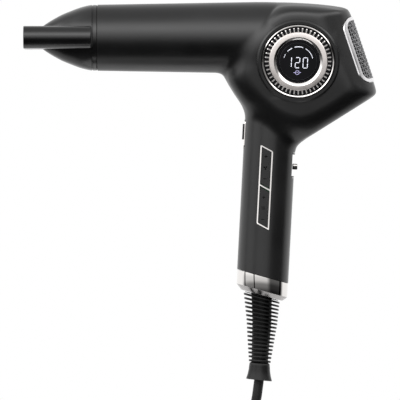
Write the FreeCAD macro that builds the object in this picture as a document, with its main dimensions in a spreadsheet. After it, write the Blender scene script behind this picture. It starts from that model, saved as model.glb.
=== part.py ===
"""Hair dryer: a pistol-grip dryer with a removable concentrator nozzle, a turning display dial,
rocker keys, a cool-shot button, a slide switch, a removable rear filter, a fan and heater, and a corded plug.

Frame: millimetres, +Z up, the air blows towards -X, the dial looks towards -Y.
The origin is the middle of the hand grip, on the handle's own axis.
"""
import FreeCAD, Part
import math
import os
from collections import namedtuple

import Sketcher

Vector = FreeCAD.Vector
Rotation = FreeCAD.Rotation
Placement = FreeCAD.Placement

doc = FreeCAD.newDocument("HairDryer")

# ---------------------------------------------------------------- driving dimensions
SIZES = {
    "wall": 2.2,
    "gap": 0.35,
    "barrel_height": 133.8,
    "mouth_station": -135.0,
    "mouth_radius": 26.45,
    "barrel_slope": 0.0172,
    "hub_half_width": 30.0,
    "hub_draft": 5.0,
    "hub_rounding": 7.0,
    "rear_radius": 30.0,
    "rear_tilt": 18.6,
    "window_half_height": 27.0,
    "window_half_width": 22.5,
    "window_rounding": 9.0,
    "window_frame_width": 2.6,
    "handle_radius": 20.7,
    "handle_tilt": 3.0,
    "cap_slope": 15.5,
    "cap_top": -56.9,
    "cap_bottom": -72.2,
    "cap_chamfer": 4.0,
    "nozzle_tip": -194.0,
    "nozzle_back": -139.5,
    "nozzle_wall": 1.6,
    "tongue_half_height": 9.0,
    "tongue_half_width": 34.5,
    "collar_bore": 16.5,
    "collar_spigot": 19.2,
    "dial_station": 25.2,
    "dial_height": 114.6,
    "collar_radius": 33.0,
    "trim_radius": 28.9,
    "knurl_radius": 27.1,
    "face_radius": 23.3,
    "face_bore": 17.5,
    "lens_radius": 15.6,
    "knurl_teeth": 48,
    "panel_turn": 6.0,
    "panel_half_width": 5.1,
    "panel_slope": 25.5,
    "panel_top": 45.4,
    "panel_middle": 13.8,
    "panel_bottom": -17.5,
    "panel_frame_width": 1.0,
    "shot_height": 55.6,
    "slider_height": 32.8,
    "duct_radius": 20.6,
    "motor_radius": 12.8,
    "shaft_radius": 1.5,
    "impeller_radius": 18.6,
    "shield_radius": 22.0,
    "element_radius": 13.2,
    "cord_diameter": 8.0,
    "coil_radius": 44.0,
    "relief_ribs": 17,
    "pin_diameter": 4.8,
    "pin_length": 19.0,
    "pin_spacing": 19.0,
}

sheet = doc.addObject("Spreadsheet::Sheet", "Sizes")
for row, (alias, value) in enumerate(SIZES.items(), start=1):
    sheet.set(f"A{row}", alias)
    sheet.set(f"B{row}", str(value))
    sheet.setAlias(f"B{row}", alias)
doc.recompute()

# A size that a sketch is bound to: its number now, and the sheet expression that keeps it.
Bound = namedtuple("Bound", "value formula")


def size(alias):
    return float(sheet.get(alias))


def at(alias, times=1.0, plus=0.0):
    return Bound(size(alias) * times + plus, f"Sizes.{alias} * {times} + {plus}")


def number_of(entry):
    return entry.value if isinstance(entry, Bound) else float(entry)


# ---------------------------------------------------------------- frames of the object's regions
BARREL = Placement(Vector(0, 0, size("barrel_height")), Rotation())
HANDLE = Placement(Vector(), Rotation(Vector(0, 1, 0), size("handle_tilt")))
DIAL = Placement(
    Vector(size("dial_station"), -size("hub_half_width"), size("dial_height")),
    Rotation(Vector(1, 0, 0), 90 + size("hub_draft")),
)
REAR = Placement(Vector(77.4, 0, 124.9), Rotation(Vector(0, 1, 0), -size("rear_tilt")))
PANEL = HANDLE * Placement(Vector(), Rotation(Vector(0, 0, 1), -size("panel_turn")))
CAP_LEAN = Rotation(Vector(0, 1, 0), size("cap_slope") - size("handle_tilt"))
CAP = HANDLE * Placement(Vector(0, 0, size("cap_bottom")), CAP_LEAN)

nodes = []


# ---------------------------------------------------------------- ways of making a piece
def closed_sketch(body, label, outline, role):
    sketch = body.newObject("Sketcher::SketchObject", label + "_sketch")
    plane = [item for item in body.Origin.OriginFeatures if item.Role == role][0]
    sketch.AttachmentSupport = [(plane, "")]
    sketch.MapMode = "FlatFace"
    add_loop(sketch, outline)
    return sketch


def add_loop(sketch, outline):
    first = sketch.GeometryCount
    corners = [Vector(number_of(across), number_of(up), 0) for across, up in outline]
    count = len(corners)
    for index in range(count):
        sketch.addGeometry(Part.LineSegment(corners[index], corners[(index + 1) % count]), False)
    for index in range(count):
        sketch.addConstraint(
            Sketcher.Constraint("Coincident", first + index, 2, first + (index + 1) % count, 1)
        )
    for index, corner in enumerate(outline):
        for direction, entry in zip(("DistanceX", "DistanceY"), corner):
            held = sketch.addConstraint(
                Sketcher.Constraint(direction, -1, 1, first + index, 1, number_of(entry))
            )
            if isinstance(entry, Bound):
                sketch.setExpression(f"Constraints[{held}]", entry.formula)


def turned(label, outline, placement, role="XZ_Plane", axis="H_Axis"):
    """A body of revolution from (station, radius) corners, about its frame's X axis."""
    body = doc.addObject("PartDesign::Body", label)
    body.Label = label
    sketch = closed_sketch(body, label, outline, role)
    revolution = body.newObject("PartDesign::Revolution", label + "_turned")
    revolution.Profile = sketch
    revolution.ReferenceAxis = (sketch, [axis])
    revolution.Angle = 360
    body.Placement = placement
    nodes.append(body)
    return body


def turned_up(label, outline, placement):
    """A body of revolution from (radius, height) corners, about its frame's Z axis."""
    return turned(label, outline, placement, axis="V_Axis")


def formed(label, shape, placement=Placement()):
    """A piece whose shape comes from Part's own functions."""
    feature = doc.addObject("Part::Feature", label)
    feature.Label = label
    feature.Shape = shape
    feature.Placement = placement
    nodes.append(feature)
    return feature


def box(low, high):
    return Part.makeBox(high[0] - low[0], high[1] - low[1], high[2] - low[2], Vector(*low))


def cylinder(radius, start, end):
    start, end = Vector(*start), Vector(*end)
    return Part.makeCylinder(radius, (end - start).Length, start, end - start)


def prism(corners, direction):
    """The solid swept by a flat polygon along a vector."""
    corners = [Vector(*corner) for corner in corners]
    return Part.Face(Part.makePolygon(corners + corners[:1])).extrude(Vector(*direction))


def placed(shape, placement):
    moved = shape.copy()
    moved.Placement = placement * moved.Placement
    return moved


# ---------------------------------------------------------------- the outer form of the casing
HUB_CORNERS = [(6.0, 162.9), (66.9, 156.4), (89.5, 89.1), (26.9, 49.9), (-16.5, 74.2), (-34.0, 101.6)]


def hub_form(inset):
    half = size("hub_half_width")
    draft = math.tan(math.radians(size("hub_draft")))
    depth = 2 * half
    outline = Part.Face(
        Part.makePolygon([Vector(x, -depth, z) for x, z in HUB_CORNERS + HUB_CORNERS[:1]])
    )
    if inset:
        outline = outline.makeOffset2D(-inset)
    block = outline.extrude(Vector(0, 2 * depth, 0))
    middle = size("dial_height")
    low, high = middle - 80, middle + 80
    narrow = half - inset - 80 * draft
    broad = half - inset + 80 * draft
    section = [(-60, -narrow, low), (-60, narrow, low), (-60, broad, high), (-60, -broad, high)]
    wedge = prism(section, (200, 0, 0))
    block = block.common(wedge)
    block = block.makeFillet(size("hub_rounding") - inset, block.Edges)
    radius = size("rear_radius")
    round_back = cylinder(radius - inset, (-radius, 0, -80), (-radius, 0, 80))
    straight = box((-160, -radius + inset, -80), (-radius, radius - inset, 80))
    return block.common(placed(round_back.fuse(straight), REAR))


def barrel_form(inset):
    start, end = size("mouth_station"), 4.0
    slope = size("barrel_slope")
    front = size("mouth_radius") - inset
    back = front + (end - start) * slope
    foot = Vector(start, 0, size("barrel_height"))
    return Part.makeCone(front, back, end - start, foot, Vector(1, 0, 0))


def handle_form(inset):
    upright = cylinder(size("handle_radius") - inset, (0, 0, -80), (0, 0, 76))
    below = box((-60, -60, -100), (60, 60, 0))
    above_cap = Placement(Vector(0, 0, size("cap_top")), CAP_LEAN)
    return placed(upright.cut(placed(below, above_cap)), HANDLE)


def casing_form(inset):
    return hub_form(inset).multiFuse([barrel_form(inset), handle_form(inset)])


# ---------------------------------------------------------------- cuts that the casing's openings need
def window_block(extra, depth_in, depth_out):
    """A rounded rectangle in the rear face's own frame, from one depth to another."""
    tall = size("window_half_height") + extra
    wide = size("window_half_width") + extra
    block = box((depth_in, -wide, -tall), (depth_out, wide, tall))
    along = [edge for edge in block.Edges if edge.BoundBox.XLength > 1]
    return block.makeFillet(size("window_rounding") + extra, along)


def panel_outline(extra, bottom, top):
    """The keys' parallelogram: (across, up the handle) corners that lean down to the rear."""
    wide = size("panel_half_width") + extra
    lean = wide * math.tan(math.radians(size("panel_slope")))
    return [
        (-wide, bottom + lean - extra),
        (wide, bottom - lean - extra),
        (wide, top - lean + extra),
        (-wide, top + lean + extra),
    ]


def panel_block(extra, bottom, top, inner, outer):
    """That parallelogram between two radii of the handle."""
    corners = [(across, -30, up) for across, up in panel_outline(extra, bottom, top)]
    sleeve = cylinder(outer, (0, 0, -60), (0, 0, 80)).cut(cylinder(inner, (0, 0, -60), (0, 0, 80)))
    return prism(corners, (0, 25, 0)).common(sleeve)


def side_block(side, middle, half_height, half_width, inner, outer, rounding):
    """A rounded rectangle on the handle's front (side -1) or rear (side 1), between two radii."""
    near, far = sorted((side * 5, side * 40))
    block = box((near, -half_width, middle - half_height), (far, half_width, middle + half_height))
    along = [edge for edge in block.Edges if edge.BoundBox.XLength > 1]
    sleeve = cylinder(outer, (0, 0, -60), (0, 0, 80)).cut(cylinder(inner, (0, 0, -60), (0, 0, 80)))
    return block.makeFillet(rounding, along).common(sleeve)


SHOT_HALF_HEIGHT, SHOT_HALF_WIDTH = 11.6, 4.6
SLIDER_HALF_HEIGHT, SLIDER_HALF_WIDTH = 9.8, 9.0


def casing_halves():
    wall = size("wall")
    hollow = casing_form(0).cut(casing_form(wall))
    axis = size("barrel_height")
    mouth = size("mouth_station")
    fit = 0.05
    shot_sizes = (size("shot_height"), SHOT_HALF_HEIGHT + fit, SHOT_HALF_WIDTH + fit)
    slider_sizes = (size("slider_height"), SLIDER_HALF_HEIGHT + fit, SLIDER_HALF_WIDTH + fit)
    cuts = [
        cylinder(size("mouth_radius") - wall, (mouth - 2, 0, axis), (mouth + wall + 2, 0, axis)),
        placed(cylinder(size("collar_radius") + 2 * fit, (0, 0, -12), (0, 0, 12)), DIAL),
        placed(window_block(size("gap"), -22, 12), REAR),
        placed(panel_block(fit, size("panel_bottom"), size("panel_top"), 10, 30), PANEL),
        placed(side_block(-1, *shot_sizes, 10, 30, 3.0), HANDLE),
        placed(side_block(1, *slider_sizes, 10, 30, 3.0), HANDLE),
    ]
    for tool in cuts:
        hollow = hollow.cut(tool)
    near = hollow.common(box((-250, -100, -100), (150, 0, 200)))
    far = hollow.common(box((-250, 0, -100), (150, 100, 200)))
    return near, far


near_half, far_half = casing_halves()
formed("left_shell", near_half)
formed("right_shell", far_half)


# ---------------------------------------------------------------- mouth and outlet
def mouth_pieces():
    inner = at("mouth_radius", plus=-2.35)
    bore = at("collar_spigot", plus=0.35)
    front, back = at("mouth_station"), at("mouth_station", plus=6.0)
    turned("barrel_front_ring", [(front, bore), (front, inner), (back, inner), (back, bore)], BARREL)

    start = size("mouth_station") + 6.2
    depth = 3.0
    rim = size("mouth_radius") - 2.4
    rings = [(rim - 1.6, rim), (17.0, 18.0), (12.6, 13.6), (8.2, 9.2), (3.8, 4.8)]
    solids = []
    for inner_radius, outer_radius in rings:
        disc = cylinder(outer_radius, (start, 0, 0), (start + depth, 0, 0))
        solids.append(disc.cut(cylinder(inner_radius, (start - 1, 0, 0), (start + depth + 1, 0, 0))))
    spoke = box((start, -0.6, 4.0), (start + depth, 0.6, rim - 0.8))
    for index in range(8):
        arm = spoke.copy()
        arm.rotate(Vector(), Vector(1, 0, 0), 45 * index)
        solids.append(arm)
    formed("outlet_grille", solids[0].multiFuse(solids[1:]).removeSplitter(), BARREL)


# ---------------------------------------------------------------- concentrator nozzle
def stadium(station, half_width, half_height):
    """A closed wire across the air stream, with fully round ends."""
    reach = half_width - half_height
    right = Vector(station, reach, 0)
    left = Vector(station, -reach, 0)
    up = Vector(0, 0, half_height)
    out = Vector(0, half_height, 0)
    return Part.Wire(
        [
            Part.LineSegment(left + up, right + up).toShape(),
            Part.Arc(right + up, right + out, right - up).toShape(),
            Part.LineSegment(right - up, left - up).toShape(),
            Part.Arc(left - up, left - out, left + up).toShape(),
        ]
    )


DOME_OUTLINE = [(-139.5, 26.2), (-146.8, 24.7), (-156.7, 21.3), (-164.7, 17.9), (-171.2, 14.4), (-179.0, 9.2)]


def dome_form(inset):
    points = [Vector(station, radius - inset, 0) for station, radius in DOME_OUTLINE]
    back, tip = points[0], points[-1]
    edges = [
        Part.LineSegment(Vector(back.x, 0, 0), back).toShape(),
        Part.makePolygon(points).Edges,
        Part.LineSegment(tip, Vector(tip.x, 0, 0)).toShape(),
        Part.LineSegment(Vector(tip.x, 0, 0), Vector(back.x, 0, 0)).toShape(),
    ]
    outline = Part.Wire([edges[0]] + edges[1] + edges[2:])
    return Part.Face(outline).revolve(Vector(), Vector(1, 0, 0), 360)


def tongue_form(inset, reach):
    half_height = size("tongue_half_height") - inset
    back = stadium(size("nozzle_back"), size("tongue_half_width") - 1.0 - inset, half_height)
    tip = stadium(size("nozzle_tip") - reach, size("tongue_half_width") - inset, half_height)
    return Part.makeLoft([back, tip], True, True)


def nozzle_pieces():
    wall = size("nozzle_wall")
    back = size("nozzle_back")
    outer = dome_form(0).fuse(tongue_form(0, 0))
    bore = cylinder(size("collar_spigot") + 0.35, (back - 3, 0, 0), (back + 1, 0, 0))
    inner = dome_form(wall).common(box((-190, -60, -60), (back - 2.2, 60, 60)))
    inside_tongue = tongue_form(wall, 5).common(box((-260, -60, -60), (back - 2.2, 60, 60)))
    skirt = cylinder(26.3, (back, 0, 0), (size("mouth_station") - 0.5, 0, 0))
    skirt = skirt.cut(cylinder(size("collar_spigot") + 0.35, (back - 1, 0, 0), (back + 9, 0, 0)))
    shell = outer.cut(inner).cut(inside_tongue).cut(bore).fuse(skirt)
    formed("nozzle_shell", shell.removeSplitter(), BARREL)

    hole, spigot = at("collar_bore"), at("collar_spigot")
    front, rear = at("nozzle_back", plus=-1.6), at("mouth_station", plus=5.6)
    turned("nozzle_collar", [(front, hole), (front, spigot), (rear, spigot), (rear, hole)], BARREL)


# ---------------------------------------------------------------- rear filter
def curved_panel(inner, outer, extra):
    """A bent sheet about the rear's own axis, as wide and tall as the window block."""
    radius = size("rear_radius")
    sheet_form = cylinder(outer, (-radius, 0, -60), (-radius, 0, 60))
    sheet_form = sheet_form.cut(cylinder(inner, (-radius, 0, -61), (-radius, 0, 61)))
    return sheet_form.common(window_block(extra, -radius, 12))


def filter_pieces():
    radius = size("rear_radius")
    rim = size("window_frame_width")
    frame = curved_panel(radius - 3.0, radius + 0.4, 0).cut(window_block(-rim, -40, 20))
    formed("rear_grille_frame", frame, REAR)

    mesh = curved_panel(radius - 2.6, radius - 1.4, -rim)
    slot_pitch, slot_height = 3.1, 1.5
    for index in range(-7, 8):
        middle = index * slot_pitch
        slot = box((-40, -17.0, middle - slot_height / 2), (20, 17.0, middle + slot_height / 2))
        mesh = mesh.cut(slot)
    formed("rear_grille_mesh", mesh, REAR)
    formed("filter_foam", curved_panel(radius - 5.6, radius - 3.0, -0.6), REAR)


# ---------------------------------------------------------------- dial and display
def dial_pieces():
    outer, trim, knurl = at("collar_radius"), at("trim_radius"), at("knurl_radius")
    trim_bore, face, lens = at("trim_radius", plus=-1.3), at("face_radius"), at("lens_radius")
    turned_up(
        "dial_collar",
        [
            (at("trim_radius", plus=0.05), -4.0),
            (outer, -4.0),
            (outer, 1.2),
            (at("collar_radius", plus=-1.3), 2.3),
            (at("trim_radius", plus=0.9), 2.3),
            (at("trim_radius", plus=0.05), 1.4),
        ],
        DIAL,
    )
    turned_up(
        "dial_trim_ring",
        [(trim_bore, -3.6), (trim, -3.6), (trim, 2.2), (at("trim_radius", plus=-0.6), 2.8), (trim_bore, 2.4)],
        DIAL,
    )
    turned_up(
        "dial_face_ring",
        [
            (at("face_bore", plus=-0.04), -3.0),
            (face, -3.0),
            (face, 3.4),
            (at("face_bore", plus=3.0), 3.7),
            (at("face_bore", plus=-0.04), 2.6),
        ],
        DIAL,
    )
    knurl_body = turned_up(
        "dial_knurl",
        [(face, -3.0), (knurl, -3.0), (knurl, 2.4), (at("knurl_radius", plus=-0.7), 3.0), (face, 3.2)],
        DIAL,
    )
    gap_sketch = knurl_body.newObject("Sketcher::SketchObject", "tooth_gap")
    plane = [item for item in knurl_body.Origin.OriginFeatures if item.Role == "XY_Plane"][0]
    gap_sketch.AttachmentSupport = [(plane, "")]
    gap_sketch.MapMode = "FlatFace"
    reach = size("knurl_radius")
    gap_sketch.addGeometry(Part.Circle(Vector(reach + 0.5, 0, 0), Vector(0, 0, 1), 1.25), False)
    pocket = knurl_body.newObject("PartDesign::Pocket", "tooth_gap_cut")
    pocket.Profile = gap_sketch
    pocket.Length = 10
    pocket.Midplane = True
    teeth = knurl_body.newObject("PartDesign::PolarPattern", "teeth")
    teeth.Originals = [pocket]
    teeth.Axis = (gap_sketch, ["N_Axis"])
    teeth.Angle = 360
    teeth.Occurrences = int(size("knurl_teeth"))
    knurl_body.Tip = teeth

    hub = at("face_bore", plus=-0.1)
    turned_up(
        "dial_bearing",
        [
            (at("lens_radius", plus=0.1), -7.5),
            (hub, -7.5),
            (hub, -4.6),
            (at("knurl_radius", plus=-1.0), -4.6),
            (at("knurl_radius", plus=-1.0), -3.6),
            (hub, -3.6),
            (hub, 1.6),
            (at("lens_radius", plus=0.1), 1.6),
        ],
        DIAL,
    )
    lens_outline = [(0, 0.2), (lens, 0.2), (lens, 1.7), (at("lens_radius", plus=-0.8), 2.3), (0, 2.3)]
    turned_up("display_lens", lens_outline, DIAL)
    board = cylinder(size("lens_radius") - 0.2, (0, 0, -6.5), (0, 0, -5.3))
    digits = box((-8.5, -5, -5.3), (8.5, 5, -1.0))
    formed("display_board", board.fuse(digits), DIAL)


# ---------------------------------------------------------------- keys on the handle's side
def key_pieces():
    top, middle, bottom = size("panel_top"), size("panel_middle"), size("panel_bottom")
    rim, clear = size("panel_frame_width"), size("gap")
    radius = size("handle_radius")
    frame = panel_block(0, bottom, top, radius - 3.4, radius + 0.3)
    windows = ((bottom, middle - rim / 2), (middle + rim / 2, top))
    for low, high in windows:
        frame = frame.cut(panel_block(-rim, low, high, 5, 40))
    formed("button_frame", frame, PANEL)
    for label, (low, high) in zip(("lower_rocker", "upper_rocker"), windows):
        formed(label, panel_block(-rim - clear, low, high, radius - 2.6, radius + 0.05), PANEL)

    board = box((-5.4, -14.6, bottom + 3), (5.4, -13.4, top - 3))
    for low, high in windows:
        for station in (low + 5.5, high - 5.5):
            board = board.fuse(box((-2.2, -16.6, station - 2.2), (2.2, -14.6, station + 2.2)))
    formed("rocker_board", board, PANEL)


# ---------------------------------------------------------------- cool-shot button and power slide
def shot_pieces():
    radius, clear, middle = size("handle_radius"), size("gap"), size("shot_height")
    button_middle, button_half = middle + 2.0, 6.6
    frame = side_block(-1, middle, SHOT_HALF_HEIGHT, SHOT_HALF_WIDTH, radius - 2.6, radius + 0.5, 3.0)
    frame = frame.cut(side_block(-1, button_middle, button_half, 3.2, 5, 40, 2.6))
    formed("cool_shot_frame", frame, HANDLE)
    button = side_block(-1, button_middle, button_half - clear, 3.2 - clear, radius - 4.0, radius + 1.6, 2.2)
    formed("cool_shot_button", button, HANDLE)
    switch = box((-13.9, -3.0, middle - 6), (-8.4, 3.0, middle + 6))
    plunger = cylinder(1.0, (-14.9, 0, middle), (-13.9, 0, middle))
    formed("cool_shot_switch", switch.fuse(plunger), HANDLE)


def slider_pieces():
    radius, middle, clear = size("handle_radius"), size("slider_height"), size("gap")
    rest = middle - 0.9
    tray = side_block(1, middle, SLIDER_HALF_HEIGHT, SLIDER_HALF_WIDTH, radius - 3.6, radius + 0.05, 3.0)
    tray = tray.cut(box((radius - 1.9, -12, middle - 8.6), (radius + 5, 12, middle + 8.6)))
    tray = tray.cut(box((5, -1.5, rest - 2.0), (radius + 5, 1.5, rest + 6.0)))
    formed("slider_plate", tray, HANDLE)
    knob = box((radius - 1.9 + clear, -3.7, rest - 2.3), (radius + 2.3, 3.7, rest + 2.3))
    knob = knob.makeFillet(0.8, [edge for edge in knob.Edges if edge.BoundBox.XMin > radius + 2])
    stem = box((radius - 5.4, -1.0, rest - 1.4), (radius - 1.0, 1.0, rest + 1.4))
    formed("power_slider", knob.fuse(stem), HANDLE)
    switch = box((8.6, -4.4, middle - 8.5), (radius - 5.9, 4.4, middle + 8.5))
    formed("slide_switch", switch, HANDLE)


# ---------------------------------------------------------------- fan and motor
def tube_solid(inner, outer, start, end):
    tube = cylinder(outer, (start, 0, 0), (end, 0, 0))
    return tube.cut(cylinder(inner, (start - 1, 0, 0), (end + 1, 0, 0)))


def spokes(count, thickness, low, high, start, end, twist):
    """Blades between two radii, each leaned by a twist about its own radius."""
    blades = []
    for index in range(count):
        blade = box((start, -thickness / 2, low), (end, thickness / 2, high))
        blade.rotate(Vector((start + end) / 2, 0, 0), Vector(0, 0, 1), twist)
        blade.rotate(Vector(), Vector(1, 0, 0), 360 * index / count)
        blades.append(blade)
    return blades


def fan_pieces():
    duct = at("duct_radius")
    turned(
        "fan_duct",
        [
            (-38, at("duct_radius", plus=-1.4)),
            (-38, duct),
            (44, duct),
            (49, at("duct_radius", plus=1.0)),
            (49, at("duct_radius", plus=-0.2)),
            (44.5, at("duct_radius", plus=-1.4)),
        ],
        BARREL,
    )
    mount_bore = size("duct_radius") + 0.02
    mounts = [tube_solid(mount_bore, 24.4, -26, -20), tube_solid(mount_bore, 22.3, 39, 43)]
    formed("motor_mounts", Part.makeCompound(mounts), BARREL)

    motor, shaft, seat = size("motor_radius"), size("shaft_radius"), 4.02
    case = tube_solid(motor - 1.6, motor, 6.6, 24.0).fuse(tube_solid(seat, motor, 3.0, 6.6))
    vanes = spokes(9, 1.0, motor - 0.5, size("duct_radius") - 1.5, 9, 19, 18)
    formed("motor_case", case.multiFuse(vanes).removeSplitter(), BARREL)
    formed("motor_end_plate", tube_solid(seat, motor, 24.0, 27.4), BARREL)
    formed("motor_stator", tube_solid(6.4, motor - 1.62, 9.0, 21.0), BARREL)
    bearing_sizes = (shaft + 0.05, seat - 0.02)
    bearings = [tube_solid(*bearing_sizes, 3.2, 6.4), tube_solid(*bearing_sizes, 24.2, 27.2)]
    formed("motor_bearings", Part.makeCompound(bearings), BARREL)

    turned("motor_shaft", [(1.5, 0), (1.5, at("shaft_radius")), (41, at("shaft_radius")), (41, 0)], BARREL)
    rotor = at("shaft_radius", plus=4.3)
    bore = at("shaft_radius")
    turned("rotor_magnet", [(8.4, bore), (8.4, rotor), (21.6, rotor), (21.6, bore)], BARREL)
    wheel_hub = Part.makeCone(9.0, 3.4, 10.6, Vector(29.0, 0, 0), Vector(1, 0, 0))
    wheel_hub = wheel_hub.cut(cylinder(shaft, (28, 0, 0), (42, 0, 0)))
    blades = spokes(11, 0.8, 3.0, size("impeller_radius") - 0.4, 30.2, 38.2, 35)
    limit = tube_solid(shaft + 0.6, size("impeller_radius"), 29.0, 41.0)
    wheel = wheel_hub.multiFuse([blade.common(limit) for blade in blades]).removeSplitter()
    formed("impeller", wheel, BARREL)


# ---------------------------------------------------------------- heater and ion source
def heater_pieces():
    shield = at("shield_radius")
    start, end = -125.5, -46.0
    lining = at("shield_radius", plus=-0.8)
    turned("heat_shield", [(start, lining), (start, shield), (end, shield), (end, lining)], BARREL)
    reach = size("shield_radius") - 0.85
    inner = size("element_radius") - 1.2
    plates = []
    for turn in (0, 90):
        plate = box((-120, -0.6, -inner), (-50, 0.6, inner))
        for tab in (-120, -55):
            plate = plate.fuse(box((tab, -0.6, -reach), (tab + 5, 0.6, reach)))
        plate.rotate(Vector(), Vector(1, 0, 0), turn)
        plates.append(plate)
    formed("heater_frame", plates[0].fuse(plates[1]).removeSplitter(), BARREL)
    turns = 12
    rings = [
        Part.makeTorus(size("element_radius"), 0.8, Vector(-112 + 4.0 * index, 0, 0), Vector(1, 0, 0))
        for index in range(turns)
    ]
    formed("heater_coil", Part.makeCompound(rings), BARREL)
    formed("thermal_cutout", box((-64, 0.6, 2.0), (-56.5, 4.4, 10.0)), BARREL)

    needle_height = size("shield_radius") + 1.05
    needle = cylinder(0.5, (-125.5, 0, needle_height), (-112, 0, needle_height))
    holder = cylinder(0.95, (-120, 0, needle_height), (-112, 0, needle_height))
    formed("ion_emitter", needle.fuse(holder), BARREL)
    formed("ion_module", box((46, -7, 92), (68, 7, 106)))


# ---------------------------------------------------------------- electronics and wiring inside
def inner_pieces():
    board = box((-4, 10, 72), (42, 11.4, 106))
    transformer = box((2, 11.4, 78), (14, 19, 92))
    relay = box((18, 11.4, 80), (28, 17, 96))
    capacitor = box((30, 3, 84), (38, 10, 98))
    triac = box((-1, 4, 94), (9, 10, 103))
    formed("control_board", board.multiFuse([transformer, relay, capacitor, triac]).removeSplitter())
    wires = []
    for across, back in ((-4.5, 5.2), (-1.5, 7.2), (1.5, 8.6)):
        wires.append(cylinder(1.0, (across, back, -40), (across, back, 62)))
    formed("handle_wires", Part.makeCompound(wires), HANDLE)
    cord = size("cord_diameter") / 2
    formed("inner_cord", cylinder(cord, (0, 0, -62.0), (0, 0, -42.0)), HANDLE)
    clamp = box((-12, -7, -52), (12, -cord, -46)).fuse(box((-12, cord, -52), (12, 7, -46)))
    clamp = clamp.fuse(box((-12, -7, -52), (-cord - 0.2, 7, -46)))
    clamp = clamp.fuse(box((cord + 0.2, -7, -52), (12, 7, -46)))
    screw_places = (-8.0, 8.0)
    for across in screw_places:
        clamp = clamp.cut(cylinder(1.25, (across, -10, -49), (across, 10, -49)))
    formed("cord_clamp", clamp.removeSplitter(), HANDLE)
    screws = []
    for across in screw_places:
        shank = cylinder(1.2, (across, -6.9, -49), (across, 7, -49))
        screws.append(shank.fuse(cylinder(2.6, (across, -9.2, -49), (across, -7.05, -49))))
    formed("clamp_screws", Part.makeCompound(screws), HANDLE)


# ---------------------------------------------------------------- end cap and strain relief
def cap_piece():
    radius = size("handle_radius")
    column = cylinder(radius, (0, 0, -100), (0, 0, -30))
    bore = cylinder(radius - 2.2, (0, 0, -100), (0, 0, -30))
    top = Placement(Vector(0, 0, size("cap_top") - 0.3), CAP_LEAN)
    bottom = Placement(Vector(0, 0, size("cap_bottom")), CAP_LEAN)
    above = box((-60, -60, 0), (60, 60, 60))
    below = box((-60, -60, -60), (60, 60, 0))
    body = column.cut(placed(above, top)).cut(placed(below, bottom))
    low = size("cap_bottom") + 4
    rim = [edge for edge in body.Edges if edge.CenterOfMass.z < low and edge.Length > 50]
    body = body.makeChamfer(size("cap_chamfer"), rim)
    floor = Placement(Vector(0, 0, size("cap_bottom") + 3.2), CAP_LEAN)
    room = bore.cut(placed(below, floor))
    body = body.cut(room)
    hole = cylinder(9.0, (0, 0, -20), (0, 0, 20))
    formed("end_cap", body.cut(placed(hole, bottom)), HANDLE)


# The strain relief's centre line: (X, Z, lean in degrees) from the cap down to the cord.
RELIEF_ROUTE = [
    (-3.8, -73.5, 15.0),
    (-3.6, -93.3, 9.8),
    (-4.9, -117.0, 4.2),
    (-5.4, -127.0, 5.0),
    (-5.9, -140.0, 6.0),
]


def relief_place(height):
    """The relief's centre and lean at a height, straight between the route's points."""
    for upper, lower in zip(RELIEF_ROUTE, RELIEF_ROUTE[1:]):
        if height >= lower[1]:
            break
    share = (height - upper[1]) / (lower[1] - upper[1])
    across = upper[0] + share * (lower[0] - upper[0])
    lean = upper[2] + share * (lower[2] - upper[2])
    return Placement(Vector(across, 0, height), Rotation(Vector(0, 1, 0), lean))


def relief_piece():
    core = [(-73.5, 8.4), (-93.3, 7.6), (-117.0, 6.6), (-126.0, 6.8), (-132.0, 8.4), (-140.0, 10.4)]
    wires = []
    for height, radius in core:
        ring = Part.Wire(Part.makeCircle(radius))
        ring.Placement = relief_place(height)
        wires.append(ring)
    body = Part.makeLoft(wires, True, False)
    ribs = []
    first, last = -74.6, -124.8
    count = int(size("relief_ribs"))
    for index in range(count):
        share = index / (count - 1)
        height = first + share * (last - first)
        radius = 14.8 + share * (8.7 - 14.8)
        rib = cylinder(radius, (0, 0, -0.9), (0, 0, 0.9))
        rib = rib.makeFillet(0.5, [edge for edge in rib.Edges if abs(edge.CenterOfMass.z) > 0.5])
        ribs.append(placed(rib, relief_place(height)))
    neck = placed(cylinder(8.8, (0, 0, -1.6), (0, 0, 3.2)), CAP)
    head = placed(cylinder(11.5, (0, 0, 3.3), (0, 0, 6.0)), CAP)
    neck = neck.fuse(placed(cylinder(8.8, (0, 0, 3.0), (0, 0, 4.0)), CAP))
    formed("strain_relief", body.multiFuse(ribs + [neck, head]).removeSplitter())


# ---------------------------------------------------------------- cord, coil and plug
CORD_ROUTE = [(-5.9, 0.0, -140.0), (-9.9, 0.0, -177.8), (-33.3, 18.4, -204.6), (-63.2, 41.9, -204.6)]
COIL_CENTRE = (-95.3, 1.0)
FLOOR = -208.6
PLUG_LEAD = 34.0


def plug_place():
    """Where the coil's last turn ends: its upper outer turn, heading along +X."""
    diameter = size("cord_diameter")
    outer_turn = size("coil_radius") + diameter
    return Placement(Vector(COIL_CENTRE[0], COIL_CENTRE[1] - outer_turn, FLOOR + 1.5 * diameter), Rotation())


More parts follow.
